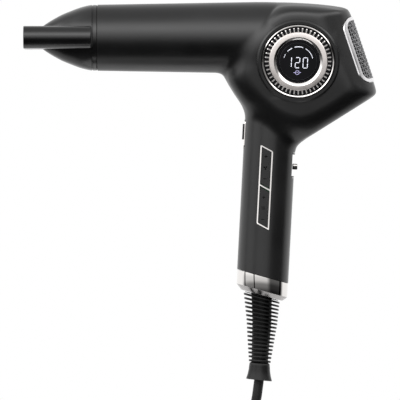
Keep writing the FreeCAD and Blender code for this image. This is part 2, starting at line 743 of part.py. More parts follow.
def cord_pieces():
    diameter = size("cord_diameter")
    points = [Vector(*point) for point in CORD_ROUTE]
    edges = []
    previous = points[0]
    length = 0.0
    for before, corner, after in zip(points, points[1:], points[2:]):
        arriving = (corner - before).normalize()
        leaving = (after - corner).normalize()
        turn = arriving.getAngle(leaving)
        shorter = min((corner - before).Length, (after - corner).Length)
        radius = 0.45 * shorter / math.tan(turn / 2)
        angle, ratio = math.degrees(turn), radius / diameter
        print(f"cord turn {angle:.1f} degrees, radius {radius:.1f} mm, {ratio:.1f} diameters")
        start = corner - arriving * (0.45 * shorter)
        end = corner + leaving * (0.45 * shorter)
        inward = (leaving - arriving).normalize()
        centre_distance = radius / math.cos(turn / 2)
        middle = corner + inward * (centre_distance - radius)
        edges.append(Part.LineSegment(previous, start).toShape())
        edges.append(Part.Arc(start, middle, end).toShape())
        previous = end
    edges.append(Part.LineSegment(previous, points[-1]).toShape())
    path = Part.Wire(edges)
    section = Part.Wire(Part.makeCircle(diameter / 2, points[0], points[1] - points[0]))
    tube = path.makePipeShell([section], True, False)
    expected = path.Length * math.pi * (diameter / 2) ** 2
    print(f"cord tube length {path.Length:.1f} mm, volume ratio {tube.Volume / expected:.4f}")
    formed("cord_tube", tube)

    inner = size("coil_radius") - 1.5 * diameter
    outer = size("coil_radius") + 1.5 * diameter
    top = FLOOR + 2 * diameter
    centre = Vector(*COIL_CENTRE, FLOOR)
    ring = Part.makeCylinder(outer, top - FLOOR, centre).cut(Part.makeCylinder(inner, top - FLOOR, centre))
    rims = [edge for edge in ring.Edges if edge.Closed and edge.BoundBox.ZLength < 0.1]
    ring = ring.makeFillet(2.5, rims)
    tube_end = cylinder(diameter / 2 + 0.02, points[-2], points[-1])
    lead_start = placed(cylinder(diameter / 2 + 0.02, (0, 0, 0), (PLUG_LEAD, 0, 0)), plug_place())
    formed("cord_coil", ring.cut(tube_end).cut(lead_start))

    wrap = 1.2
    tie_outer = box((-5, inner - wrap, 0), (5, outer + wrap, 2 * diameter + wrap))
    tie_inner = box((-6, inner + 0.3, 0.8), (6, outer - 0.3, 2 * diameter - 0.3))
    tie = tie_outer.cut(tie_inner)
    formed("cord_tie", tie, Placement(centre, Rotation(Vector(0, 0, 1), 60)))


def plug_pieces():
    """A two-pin plug that lies on the floor, in line with the coil's last turn."""
    diameter = size("cord_diameter")
    axis = plug_place()
    sleeve_start, tail, back, front = PLUG_LEAD, 50.0, 72.0, 84.0
    pin_reach = size("pin_length")
    low = -1.5 * diameter
    formed("plug_lead", cylinder(diameter / 2, (0, 0, 0), (sleeve_start, 0, 0)), axis)
    sleeve = Part.makeCone(5.2, 6.6, tail + 2 - sleeve_start, Vector(sleeve_start, 0, 0), Vector(1, 0, 0))
    grip_block = box((tail, -9.0, low), (back + 6, 9.0, low + 17))
    grip = grip_block.makeFillet(4.0, grip_block.Edges)
    face_block = box((back, -17.0, low), (front, 17.0, low + 20))
    face = face_block.makeFillet(5.0, [edge for edge in face_block.Edges if edge.BoundBox.XLength > 5])
    formed("plug_body", grip.multiFuse([sleeve, face]).removeSplitter(), axis)
    pins = []
    radius = size("pin_diameter") / 2
    for side in (-0.5, 0.5):
        across = side * size("pin_spacing")
        shank = cylinder(radius, (front, across, low + 10), (front + pin_reach - 1.5, across, low + 10))
        tip = Part.makeSphere(radius, Vector(front + pin_reach - radius, across, low + 10))
        pins.append(shank.fuse(tip))
    formed("plug_pins", Part.makeCompound(pins), axis)


for make_pieces in (
    mouth_pieces,
    nozzle_pieces,
    filter_pieces,
    dial_pieces,
    key_pieces,
    shot_pieces,
    slider_pieces,
    fan_pieces,
    heater_pieces,
    inner_pieces,
    cap_piece,
    relief_piece,
    cord_pieces,
    plug_pieces,
):
    make_pieces()

doc.recompute()

failed = [item.Label for item in doc.Objects if {"Invalid", "Error"} & set(item.State)]
if failed:
    raise RuntimeError(f"these objects failed to rebuild: {failed}")
for node in nodes:
    if node.Shape.isNull() or not node.Shape.isValid():
        raise RuntimeError(f"{node.Label} has no valid shape")

os.makedirs("parts", exist_ok=True)
for node in nodes:
    node.Shape.exportStep(f"parts/{node.Label}.step")
print(f"wrote {len(nodes)} parts")
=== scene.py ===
"""Looks for the hair dryer: casing, nozzle, dial, keys, grille, cap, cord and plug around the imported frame.

Lengths here are millimetres until a piece is made, when they become the frame's metres.
"""

import math

import bmesh
import bpy
import numpy as np
from mathutils import Matrix, Vector


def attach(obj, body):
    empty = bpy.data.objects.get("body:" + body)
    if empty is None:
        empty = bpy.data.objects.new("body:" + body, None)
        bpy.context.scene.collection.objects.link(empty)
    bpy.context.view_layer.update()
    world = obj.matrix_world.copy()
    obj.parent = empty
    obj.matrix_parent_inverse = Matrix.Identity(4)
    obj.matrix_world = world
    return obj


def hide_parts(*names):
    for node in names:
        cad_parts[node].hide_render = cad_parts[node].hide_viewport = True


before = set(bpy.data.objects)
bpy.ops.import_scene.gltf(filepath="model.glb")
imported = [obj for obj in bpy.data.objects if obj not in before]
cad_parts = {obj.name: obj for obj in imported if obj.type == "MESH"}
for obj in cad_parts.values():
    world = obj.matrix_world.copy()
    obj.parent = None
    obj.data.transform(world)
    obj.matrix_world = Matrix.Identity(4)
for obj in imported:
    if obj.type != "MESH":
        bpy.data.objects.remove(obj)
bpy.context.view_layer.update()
MM = 0.001

# --- driving sizes, millimetres
BARREL_HEIGHT = 133.8
MOUTH = -135.0
MOUTH_RADIUS = 26.45
BARREL_SLOPE = 0.0172  # growth of the barrel's radius towards the hub, mm per mm
BARREL_FALL_FROM = -12.0  # from here the radius falls again, inside the hub
BARREL_FALL = 0.0013
BARREL_BACK = 52.0
HUB_CORNERS = ((7.0, 162.2), (40.0, 162.2), (66.4, 157.6), (89.5, 89.1))
HUB_CORNERS += ((26.9, 49.9), (-16.5, 74.2), (-34.0, 101.6))
HUB_HALF_WIDTH = 30.0
HUB_DRAFT = math.tan(math.radians(5.0))
HUB_EDGE = 15.0
DIAL_PLACE = (25.2, -30.0, 114.6)
REAR_RADIUS = 30.0
WINDOW = (22.5, 27.0, 9.0)
WINDOW_FRAME = 2.6
HANDLE_RADIUS = 20.7
HANDLE_TOP = 78.0
CAP_LEAN = 12.5
DIAL_HOLE = 33.05
SHOT_HOLE = (55.6, 4.65, 11.65, 3.0)  # middle height, half width, half height, rounding
SLIDER_HOLE = (32.8, 9.35, 10.15, 3.35)
CASING_WALL = 2.0
CASING_BOX = ((-138, -38, -66), (94, 38, 170))
CASING_STEP = 1.2
FLOOR = -208.6
CORD_DIAMETER = 8.0

# --- regions' own frames


def turn(degrees, axis):
    return Matrix.Rotation(math.radians(degrees), 4, axis)


BARREL = Matrix.Translation((0, 0, BARREL_HEIGHT))
HANDLE = turn(3.0, "Y")
DIAL = Matrix.Translation(DIAL_PLACE) @ turn(95.0, "X")
REAR = Matrix.Translation((77.4, 0, 124.9)) @ turn(-18.6, "Y")
PANEL = HANDLE @ turn(-6.0, "Z")
CAP_SPLIT = HANDLE @ Matrix.Translation((0, 0, -56.9)) @ turn(CAP_LEAN, "Y")


def local(points, place):
    """Points of the object's frame, as seen in a region's frame."""
    inverse = np.array(place.inverted())
    return points @ inverse[:3, :3].T + inverse[:3, 3]


# --- the keys' leaning outline
PANEL_TOP = 45.4
PANEL_MIDDLE = 13.8
PANEL_BOTTOM = -17.5
PANEL_HALF_WIDTH = 5.1
PANEL_LEAN = math.tan(math.radians(25.5))
KEY_RIM = 1.0


def key_outline(bottom, top, grow=0.0):
    """The corners (across, up) of a leaning key surround, from lower left round to upper left."""
    half = PANEL_HALF_WIDTH + grow
    lean = half * PANEL_LEAN
    return (
        (-half, bottom + lean - grow),
        (half, bottom - lean - grow),
        (half, top - lean + grow),
        (-half, top + lean + grow),
    )


# --- camera
CAMERA_DISTANCE = 8000.0
SEEN_WIDTH = 320.0
SEEN_MIDDLE = (-53.1, 4.0)


def make_camera():
    """A level camera looking along +Y, far enough off that nothing shows perspective."""
    data = bpy.data.cameras.new("camera")
    camera = bpy.data.objects.new("camera", data)
    bpy.context.scene.collection.objects.link(camera)
    data.sensor_width = 36.0
    data.lens = data.sensor_width * CAMERA_DISTANCE / SEEN_WIDTH
    data.clip_end = 60.0
    camera.location = Vector((SEEN_MIDDLE[0], -CAMERA_DISTANCE, SEEN_MIDDLE[1])) * MM
    camera.rotation_euler = (math.radians(90), 0, 0)
    bpy.context.scene.camera = camera


# --- materials
def new_material(name, colour, roughness, metallic=0.0):
    material = bpy.data.materials.new(name)
    material.use_nodes = True
    shader = material.node_tree.nodes["Principled BSDF"]
    shader.inputs["Base Color"].default_value = (*colour, 1)
    shader.inputs["Roughness"].default_value = roughness
    shader.inputs["Metallic"].default_value = metallic
    return material, shader


def new_node(tree, kind, **inputs):
    """A shader node whose inputs are each set to a value or joined to another node's output."""
    node = tree.nodes.new("ShaderNode" + kind)
    for name, entry in inputs.items():
        socket = node.inputs[name.replace("_", " ")]
        if isinstance(entry, bpy.types.NodeSocket):
            tree.links.new(entry, socket)
        else:
            socket.default_value = entry
    return node


def add_noise(material, scale, detail=3.0, stretch=(1, 1, 1)):
    tree = material.node_tree
    place = new_node(tree, "TexCoord").outputs["Object"]
    mapping = new_node(tree, "Mapping", Vector=place, Scale=stretch)
    return new_node(tree, "TexNoise", Vector=mapping.outputs["Vector"], Scale=scale, Detail=detail)


def spread(material, noise, low, high):
    """The noise's value, remapped to run from low to high."""
    value = noise.outputs["Fac"]
    limits = {"From_Min": 0.3, "From_Max": 0.7, "To_Min": low, "To_Max": high}
    return new_node(material.node_tree, "MapRange", Value=value, **limits).outputs["Result"]


def vary_colour(material, shader, noise, dark, light):
    ramp = new_node(material.node_tree, "ValToRGB", Fac=noise.outputs["Fac"])
    for element, place, colour in zip(ramp.color_ramp.elements, (0.35, 0.65), (dark, light)):
        element.position = place
        element.color = (*colour, 1)
    material.node_tree.links.new(ramp.outputs["Color"], shader.inputs["Base Color"])


def add_bump(material, shader, noise, strength, depth):
    height = noise.outputs["Fac"]
    bump = new_node(material.node_tree, "Bump", Strength=strength, Distance=depth, Height=height)
    material.node_tree.links.new(bump.outputs["Normal"], shader.inputs["Normal"])


def plastic(name, colour, roughness, grain=2600.0, strength=0.12, shift=0.25):
    """Moulded plastic or rubber: a fine grain, and colour and gloss that drift over the surface."""
    material, shader = new_material(name, colour, roughness)
    cloud = add_noise(material, 38.0)
    dark = tuple(channel * (1 - shift) for channel in colour)
    light = tuple(channel * (1 + shift) for channel in colour)
    vary_colour(material, shader, cloud, dark, light)
    gloss = spread(material, cloud, roughness * 0.92, roughness * 1.08)
    material.node_tree.links.new(gloss, shader.inputs["Roughness"])
    add_bump(material, shader, add_noise(material, grain, detail=2.0), strength, 0.00004)
    return material


def metal(name, colour, roughness, stretch=(1, 1, 1), grain=900.0, strength=0.03):
    """Plated or machined metal: faint smears in the gloss, and a fine direction in the grain."""
    material, shader = new_material(name, colour, roughness, metallic=1.0)
    smear = add_noise(material, 60.0, stretch=stretch)
    gloss = spread(material, smear, roughness * 0.7, roughness * 1.3)
    material.node_tree.links.new(gloss, shader.inputs["Roughness"])
    vary_colour(material, shader, smear, tuple(channel * 0.97 for channel in colour), colour)
    fine = add_noise(material, grain, stretch=stretch)
    add_bump(material, shader, fine, strength, 0.00002)
    return material


def glow(name, colour, strength):
    material, shader = new_material(name, colour, 0.5)
    shader.inputs["Emission Color"].default_value = (*colour, 1)
    shader.inputs["Emission Strength"].default_value = strength
    return material


SOFT_BLACK = plastic("soft_black", (0.0035, 0.0035, 0.0037), 0.32)
NOZZLE_BLACK = plastic("nozzle_black", (0.0035, 0.0035, 0.0037), 0.22)
WEAVE = plastic("weave", (0.22, 0.22, 0.225), 0.25, strength=0.05)
RIM_GREY = plastic("rim_grey", (0.035, 0.035, 0.04), 0.4)
INNER_BLACK = plastic("inner_black", (0.006, 0.006, 0.006), 0.5)
GLOSS_BLACK = plastic("gloss_black", (0.003, 0.003, 0.004), 0.08, strength=0.02)
KEY_BLACK = plastic("key_black", (0.008, 0.008, 0.0085), 0.24, strength=0.05)
KEY_MARK = plastic("key_mark", (0.001, 0.001, 0.001), 0.9)
RUBBER = plastic("rubber", (0.0045, 0.0045, 0.0045), 0.36, grain=1800.0)
CORD_BLACK = plastic("cord_black", (0.007, 0.007, 0.007), 0.45, grain=1500.0)
SILVER = metal("silver", (0.86, 0.83, 0.81), 0.06)
ROSE_SILVER = metal("rose_silver", (0.96, 0.90, 0.87), 0.30)
SATIN_SILVER = metal("satin_silver", (0.80, 0.79, 0.80), 0.22)
CAP_CHROME = metal("cap_chrome", (0.78, 0.76, 0.74), 0.05)
# The cap's chrome made darker for the chamfer and underside: painted shade on their downward faces.
SHADED_CHAMFER_CHROME = metal("chamfer_chrome_painted_shade", (0.34, 0.33, 0.325), 0.16)
STEEL = metal("steel", (0.55, 0.55, 0.56), 0.3)
NICKEL = metal("nickel", (0.78, 0.76, 0.70), 0.18, stretch=(8, 1, 1))
COPPER = metal("copper", (0.80, 0.42, 0.28), 0.3)
FOAM = plastic("foam", (0.006, 0.006, 0.006), 0.9, grain=1400.0, strength=0.8)
MICA = plastic("mica", (0.55, 0.47, 0.34), 0.5, grain=500.0)
BOARD = plastic("board", (0.02, 0.12, 0.05), 0.4, grain=700.0)
DUCT = plastic("duct", (0.06, 0.06, 0.065), 0.45)
WIRE = plastic("wire", (0.30, 0.03, 0.02), 0.4)
LOW_SHEEN = ((GLOSS_BLACK, 0.22), (RUBBER, 0.22), (CORD_BLACK, 0.25), (KEY_BLACK, 0.35), (KEY_MARK, 0.02))
for dull, level in LOW_SHEEN:
    dull.node_tree.nodes["Principled BSDF"].inputs["Specular IOR Level"].default_value = level
DISPLAY_WHITE = glow("display_white", (0.78, 0.80, 0.88), 0.5)
DISPLAY_LILAC = glow("display_lilac", (0.40, 0.38, 0.60), 0.45)


# --- making pieces
def mesh_object(name, points, faces):
    """A mesh object from millimetre points."""
    mesh = bpy.data.meshes.new(name)
    corners = [tuple(point) for point in np.asarray(points, float) * MM]
    mesh.from_pydata(corners, [], [tuple(face) for face in faces])
    made = bpy.data.objects.new(name, mesh)
    bpy.context.scene.collection.objects.link(made)
    return made


def piece(name, points, faces, material, body, replaced=(), slot=None, smooth=35.0):
    """A mesh piece that rides on a body and stands for CAD nodes."""
    built = mesh_object(name, points, faces)
    built.data.materials.append(material)
    finish_mesh(built, smooth)
    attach(built, body)
    if replaced:
        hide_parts(*replaced)
    return built


def finish_mesh(built, smooth):
    form = bmesh.new()
    form.from_mesh(built.data)
    bmesh.ops.recalc_face_normals(form, faces=form.faces)
    form.to_mesh(built.data)
    form.free()
    built.data.shade_smooth()
    if smooth < 180:
        built.data.set_sharp_from_angle(angle=math.radians(smooth))


def apply_modifiers(built):
    graph = bpy.context.evaluated_depsgraph_get()
    made = bpy.data.meshes.new_from_object(built.evaluated_get(graph))
    built.modifiers.clear()
    built.data = made


def in_place(points, place):
    matrix = np.array(place)
    return np.asarray(points, float) @ matrix[:3, :3].T + matrix[:3, 3]


# --- the cord
CORD_ROUTE = ((-5.9, 0.0, -140.0), (-9.9, 0.0, -177.8), (-33.3, 18.4, -204.6))
COIL_CENTRE = (-95.3, 1.0)
COIL_START = 51.9
COIL_END = 270.0
COIL_RADII = (52.0, 44.0, 36.0, 36.0, 44.0, 52.0)
COIL_LAYERS = (0, 0, 0, 1, 1, 1)
POINTS_PER_TURN = 24
PLUG_LEAD = 34.0


def coil_points():
    """The put-away length: turns on the floor, then on top, each easing into the next at its end."""
    sweep = (len(COIL_RADII) - 1) * 360 + COIL_END - COIL_START
    count = round(sweep * POINTS_PER_TURN / 360)
    for number in range(count + 1):
        turned = number * sweep / count
        turn_number = min(int(turned // 360), len(COIL_RADII) - 1)
        share = max(0.0, (turned - 360 * turn_number - 300) / 60)
        after = min(turn_number + 1, len(COIL_RADII) - 1)
        ease = share * share * (3 - 2 * share)
        radius = COIL_RADII[turn_number] * (1 - ease) + COIL_RADII[after] * ease
        layer = COIL_LAYERS[turn_number] * (1 - ease) + COIL_LAYERS[after] * ease
        angle = math.radians(COIL_START + turned)
        east = COIL_CENTRE[0] + radius * math.cos(angle)
        north = COIL_CENTRE[1] + radius * math.sin(angle)
        yield east, north, FLOOR + CORD_DIAMETER * (0.5 + layer)


def make_cord(relief):
    route = list(CORD_ROUTE) + list(coil_points())
    last = route[-1]
    route.append((last[0] + PLUG_LEAD / 2, last[1], last[2]))
    route.append((last[0] + PLUG_LEAD, last[1], last[2]))
    line = bpy.data.curves.new("cord", "CURVE")
    line.dimensions = "3D"
    line.bevel_depth = CORD_DIAMETER / 2 * MM
    line.bevel_resolution = 5
    line.resolution_u = 6
    line.use_fill_caps = True
    spline = line.splines.new("NURBS")
    spline.points.add(len(route) - 1)
    for control, point in zip(spline.points, route):
        control.co = (point[0] * MM, point[1] * MM, point[2] * MM, 1)
    spline.order_u = 3
    spline.use_endpoint_u = True
    line.materials.append(CORD_BLACK)
    cord = bpy.data.objects.new("cord", line)
    bpy.context.scene.collection.objects.link(cord)
    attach(cord, "dryer")
    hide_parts("cord_tube", "cord_coil", "plug_lead")
    Vector(CORD_ROUTE[0]) * MM


# --- surfaces from fields
def smooth_min(first, second, reach):
    share = np.clip(0.5 + 0.5 * (second - first) / reach, 0, 1)
    return second * (1 - share) + first * share - reach * share * (1 - share)


def smooth_max(first, second, reach):
    return -smooth_min(-first, -second, reach)


def polygon_distance(across, up, corners, softness):
    """Signed distance to a convex polygon, negative inside, whose corners ease from side to side."""
    corners = np.array(corners, float)
    middle = corners.mean(0)
    total = np.zeros_like(across, dtype=float)
    for start, end in zip(corners, np.roll(corners, -1, axis=0)):
        along = (end - start) / np.linalg.norm(end - start)
        normal = np.array((along[1], -along[0]))
        if normal @ (middle - start) > 0:
            normal = -normal
        side = (across - start[0]) * normal[0] + (up - start[1]) * normal[1]
        total = total + np.exp(np.clip(side / softness, -60, 60))
    return softness * np.log(total)


def rounded_box_distance(across, up, half_across, half_up, rounding):
    east = np.abs(across) - half_across + rounding
    north = np.abs(up) - half_up + rounding
    outside = np.hypot(np.maximum(east, 0), np.maximum(north, 0))
    return outside + np.minimum(np.maximum(east, north), 0) - rounding


def surface_of(field, low, high, step):
    """The field's zero surface as points and triangles: a net over the cells that it crosses."""
    axes = [np.arange(start, end + step, step) for start, end in zip(low, high)]
    grid = np.stack(np.meshgrid(*axes, indexing="ij"), -1)
    shape = grid.shape[:3]
    inside = (field(grid.reshape(-1, 3)) < 0).reshape(shape)
    count = np.zeros(tuple(size - 1 for size in shape), int)
    for corner in np.ndindex(2, 2, 2):
        window = tuple(slice(offset, size - 1 + offset) for offset, size in zip(corner, shape))
        count += inside[window]
    crossed = (count > 0) & (count < 8)
    index = np.full(crossed.shape, -1)
    index[crossed] = np.arange(crossed.sum())
    cells = np.argwhere(crossed)
    points = np.array(low) + (cells + 0.5) * step
    quads = []
    for axis in range(3):
        first, second = (axis + 1) % 3, (axis + 2) % 3
        before = [slice(None)] * 3
        after = [slice(None)] * 3
        before[axis], after[axis] = slice(0, -1), slice(1, None)
        changed = inside[tuple(before)] != inside[tuple(after)]
        edges = np.argwhere(changed)
        edges = edges[(edges[:, first] > 0) & (edges[:, second] > 0)]
        edges = edges[(edges[:, first] < shape[first] - 1) & (edges[:, second] < shape[second] - 1)]
        ring = []
        for shift_first, shift_second in ((1, 1), (0, 1), (0, 0), (1, 0)):
            cell = edges.copy()
            cell[:, first] -= shift_first
            cell[:, second] -= shift_second
            ring.append(index[tuple(cell.T)])
        quad = np.stack(ring, 1)
        flip = ~inside[tuple(edges.T)]
        quad[flip] = quad[flip][:, ::-1]
        quads.append(quad)
    quads = np.concatenate(quads)
    points = settle(field, points, quads)
    faces = np.concatenate([quads[:, (0, 1, 2)], quads[:, (0, 2, 3)]])
    return points, faces


def settle(field, points, quads):
    """Points eased towards their neighbours' middle, then brought back on to the zero surface."""
    edges = np.concatenate([quads[:, (0, 1)], quads[:, (1, 2)], quads[:, (2, 3)], quads[:, (3, 0)]])
    degree = np.bincount(edges.ravel(), minlength=len(points))[:, None]
    for _ in range(3):
        total = np.zeros_like(points)
        for column in (0, 1):
            for axis in range(3):
                other = points[edges[:, 1 - column], axis]
                total[:, axis] += np.bincount(edges[:, column], weights=other, minlength=len(points))
        points = 0.5 * points + 0.5 * total / degree
        points = on_surface(field, points)
    return points


def on_surface(field, points, rounds=4, probe=0.02):
    for _ in range(rounds):
        value = field(points)
        slope = np.zeros_like(points)
        for axis in range(3):
            shift = np.zeros(3)
            shift[axis] = probe
            slope[:, axis] = (field(points + shift) - field(points - shift)) / (2 * probe)
        points = points - slope * (value / np.maximum((slope**2).sum(1), 0.05))[:, None]
    return points


def clipped(points, faces, value):
    """The part of a triangle mesh where a value at its points is above zero, cut cleanly along zero."""
    keep = value > 0
    marks = keep[faces]
    kept = marks.sum(1)
    whole = faces[kept == 3]
    new_points, made, seen = [], [], {}

    def crossing(inner, outer):
        key = (min(inner, outer), max(inner, outer))
        if key not in seen:
            share = value[inner] / (value[inner] - value[outer])
            seen[key] = len(points) + len(new_points)
            new_points.append(points[inner] + share * (points[outer] - points[inner]))
        return seen[key]

    for face, mark in zip(faces[(kept == 1) | (kept == 2)], marks[(kept == 1) | (kept == 2)]):
        lone = mark.sum() == 1
        start = int(np.argmax(mark if lone else ~mark))
        first, second, third = (int(face[(start + step) % 3]) for step in range(3))
        if lone:
            made.append((first, crossing(first, second), crossing(first, third)))
        else:
            near, far = crossing(second, first), crossing(third, first)
            made.append((near, second, third))
            made.append((near, third, far))
    points = np.concatenate([points, np.array(new_points).reshape(-1, 3)])
    faces = np.concatenate([whole, np.array(made, int).reshape(-1, 3)])
    used, renumbered = np.unique(faces, return_inverse=True)
    return points[used], renumbered.reshape(-1, 3)


# --- the casing
FAR = 50.0  # the distance given where an opening has no say


def ramp(value, low, high):
    share = np.clip((value - low) / (high - low), 0, 1)
    return share * share * (3 - 2 * share)


def barrel_field(points):
    across = np.hypot(points[:, 1], points[:, 2] - BARREL_HEIGHT)
    radius = MOUTH_RADIUS + BARREL_SLOPE * (points[:, 0] - MOUTH)
    radius -= BARREL_FALL * np.maximum(points[:, 0] - BARREL_FALL_FROM, 0) ** 2
    return np.maximum(across - radius, points[:, 0] - BARREL_BACK)


def hub_field(points):
    """The hub: crisp in outline on the middle plane, softer at the sides, and half-round behind."""
    sharp = polygon_distance(points[:, 0], points[:, 2], HUB_CORNERS, 2.2)
    soft = polygon_distance(points[:, 0], points[:, 2], HUB_CORNERS, 6.0)
    outward = ramp(np.abs(points[:, 1]), 4.0, 26.0)
    outline = sharp * (1 - outward) + soft * outward
    half_width = HUB_HALF_WIDTH + (points[:, 2] - DIAL_PLACE[2]) * HUB_DRAFT
    side = np.abs(points[:, 1]) - half_width
    flank = np.hypot(np.maximum(outline + HUB_EDGE, 0), np.maximum(side + HUB_EDGE, 0))
    block = flank + np.minimum(np.maximum(outline, side) + HUB_EDGE, 0) - HUB_EDGE
    rear = local(points, REAR)
    behind = np.maximum(rear[:, 0] + REAR_RADIUS, 0)
    round_back = np.hypot(behind, rear[:, 1]) - REAR_RADIUS
    return smooth_max(block, round_back, 2.0)


def handle_field(points):
    inside = local(points, HANDLE)
    across = np.hypot(inside[:, 0], inside[:, 1])
    return np.maximum(across - HANDLE_RADIUS, inside[:, 2] - HANDLE_TOP)


def casing_field(points):
    shoulder = 1.0 + 8.0 * ramp(points[:, 2], 154.0, 118.0)
    throat = 6.0 + 5.0 * ramp(points[:, 0], -8.0, 18.0)
    body = smooth_min(hub_field(points), barrel_field(points), shoulder)
    return smooth_min(body, handle_field(points), throat)


def dial_hole(points):
    dial = local(points, DIAL)
    return np.where(points[:, 1] < 0, np.hypot(dial[:, 0], dial[:, 1]) - DIAL_HOLE, FAR)


def rear_window(points):
    rear = local(points, REAR)
    half_across, half_up, rounding = (size + 0.35 for size in WINDOW)
    distance = rounded_box_distance(rear[:, 1], rear[:, 2], half_across, half_up, rounding)
    return np.where(rear[:, 0] > -22, distance, FAR)


def key_hole(points):
    inside = local(points, PANEL)
    distance = polygon_distance(inside[:, 0], inside[:, 2], key_outline(PANEL_BOTTOM, PANEL_TOP), 0.3)
    return np.where(inside[:, 1] < 0, distance, FAR)


def grip_hole(points, hole, side):
    """A rounded opening in the handle's front (side -1) or back (side 1)."""
    grip = local(points, HANDLE)
    height, half_across, half_up, rounding = hole
    distance = rounded_box_distance(grip[:, 1], grip[:, 2] - height, half_across, half_up, rounding)
    return np.where(grip[:, 0] * side > 0, distance, FAR)


def shot_hole(points):
    return grip_hole(points, SHOT_HOLE, -1)


def slider_hole(points):
    return grip_hole(points, SLIDER_HOLE, 1)


def barrel_end(points):
    return points[:, 0] - MOUTH


def cap_end(points):
    return local(points, CAP_SPLIT)[:, 2]


def casing_pieces():
    """One skin over the whole casing, opened where parts pass through it, then split in its two halves."""
    points, faces = surface_of(casing_field, *CASING_BOX, CASING_STEP)
    for keep in (dial_hole, rear_window, key_hole, shot_hole, slider_hole, barrel_end, cap_end):
        points, faces = clipped(points, faces, keep(points))
    for name, side in (("left_shell", -1), ("right_shell", 1)):
        half = clipped(points, faces, side * points[:, 1] - 0.05)
        shell = piece("casing_" + name, *half, SOFT_BLACK, "dryer", (name,), "casing_black", 180)
        thick = shell.modifiers.new("wall", "SOLIDIFY")
        thick.thickness = CASING_WALL * MM
        thick.offset = -1
        thick.use_even_offset = True
        apply_modifiers(shell)
        shell.data.set_sharp_from_angle(angle=math.radians(40))


# --- loops and skins
def rings_to_mesh(rings, closed_ends=True, around=True):
    """Faces between rings of equal count, first to last, with flat ends if asked."""
    count = len(rings[0])
    points = np.concatenate([np.asarray(ring, float) for ring in rings])
    faces = []
    for ring in range(len(rings) - 1):
        for side in range(count if around else count - 1):
            after = (side + 1) % count
            start, below = ring * count, (ring + 1) * count
            faces.append((start + side, start + after, below + after, below + side))
    if closed_ends:
        faces.append(tuple(reversed(range(count))))
        faces.append(tuple(range((len(rings) - 1) * count, len(rings) * count)))
    return points, faces


def turned(outline, place, sides=128, axis="Z"):
    """A closed outline of (radius, along) turned all the way round an axis of a region's frame."""
    count = len(outline)
    points, faces = [], []
    for side in range(sides):
        angle = 2 * math.pi * side / sides
        for radius, along in outline:
            east, north = radius * math.cos(angle), radius * math.sin(angle)
            points.append((east, north, along) if axis == "Z" else (along, east, north))
    for side in range(sides):
        after = (side + 1) % sides
        for number in range(count):
            following = (number + 1) % count
            ring, other = side * count, after * count
            faces.append((ring + number, ring + following, other + following, other + number))
    return in_place(points, place), faces


def smooth_line(points, steps):
    """A smooth line through points, eased at each of them."""
    points = np.array(points, float)
    padded = np.vstack([2 * points[0] - points[1], points, 2 * points[-1] - points[-2]])
    line = []
    for number in range(len(points) - 1):
        before, start, end, after = padded[number : number + 4]
        for step in range(steps):
            share = step / steps
            line.append(
                0.5
                * (
                    2 * start
                    + (end - before) * share
                    + (2 * before - 5 * start + 4 * end - after) * share**2
                    + (3 * start - before - 3 * end + after) * share**3
                )
            )
    line.append(points[-1])
    return np.array(line)


def prism(outline, low, high, place):
    """A flat outline of (across, up) points between two heights of a region's frame."""
    rings = [[(x, y, low) for x, y in outline], [(x, y, high) for x, y in outline]]
    points, faces = rings_to_mesh(rings)
    return in_place(points, place), faces


def merged(parts):
    """Several meshes as one."""
    points, faces, start = [], [], 0
    for part_points, part_faces in parts:
        points.append(np.asarray(part_points, float))
        faces += [tuple(number + start for number in face) for face in part_faces]
        start += len(part_points)
    return np.concatenate(points), faces


# --- nozzle
NOZZLE_TIP = -194.0
NOZZLE_WALL = 1.6
DOME = ((-139.6, 26.3), (-142.6, 25.8), (-147.0, 24.75), (-151.4, 23.35), (-156.7, 21.3))
DOME += ((-160.6, 19.75), (-164.7, 17.9), (-169.8, 15.1), (-174.0, 12.6), (-178.0, 9.9), (-181.0, 7.4))
TONGUE_BACK = (-140.2, 33.5, 9.0)
TONGUE_TIP = (NOZZLE_TIP, 34.5, 9.0)


def stadium(station, half_width, half_height, arc=24):
    reach = half_width - half_height
    ring = []
    for side in (1, -1):
        for step in range(arc + 1):
            angle = math.pi * (step / arc - 0.5)
            north = side * (reach + half_height * math.cos(angle))
            ring.append((station, north, side * half_height * math.sin(angle)))
    return ring


def dome_solid(inset):
    """The turned dome with its skirt, or with an inset the hollow inside it."""
    curve = [(station, radius - inset) for station, radius in smooth_line(DOME, 4)]
    if inset:
        base = [(-134.0, 19.6), (-141.8, 19.6), (-142.0, curve[3][1])]
        curve = [point for point in curve if point[0] < -142.2]
    else:
        base = [(-135.5, 25.9), (-135.8, 26.25), (-138.5, 26.3), (-138.8, 25.9), (-139.3, 25.9)]
    curve = base + curve
    outline = [(0.001, curve[0][0])]
    outline += [(radius, station) for station, radius in curve]
    outline.append((0.001, curve[-1][0]))
    return turned(outline, BARREL, 144, axis="X")


def tongue_solid(inset, reach):
    """The flat tongue with rounded ends, or with an inset the slot inside it, run out past the tip."""

    def section(end, shift, inwards):
        return stadium(end[0] + shift, end[1] - inwards, end[2] - inwards)

    if inset:
        rings = [section(TONGUE_BACK, -1.8, inset), section(TONGUE_TIP, -reach, inset)]
    else:
        rings = [section(TONGUE_BACK, 0, 0.3), section(TONGUE_BACK, -0.3, 0)]
        rings += [section(TONGUE_TIP, 0.35, 0), section(TONGUE_TIP, 0, 0.35)]
    points, faces = rings_to_mesh(rings)
    return in_place(points, BARREL), faces


def raw_object(name, points, faces):
    """A closed solid for the nozzle's joins and cuts, with doubled points made one."""
    made = mesh_object(name, points, faces)
    form = bmesh.new()
    form.from_mesh(made.data)
    bmesh.ops.remove_doubles(form, verts=form.verts, dist=2e-6)
    bmesh.ops.recalc_face_normals(form, faces=form.faces)
    form.to_mesh(made.data)
    form.free()
    return made


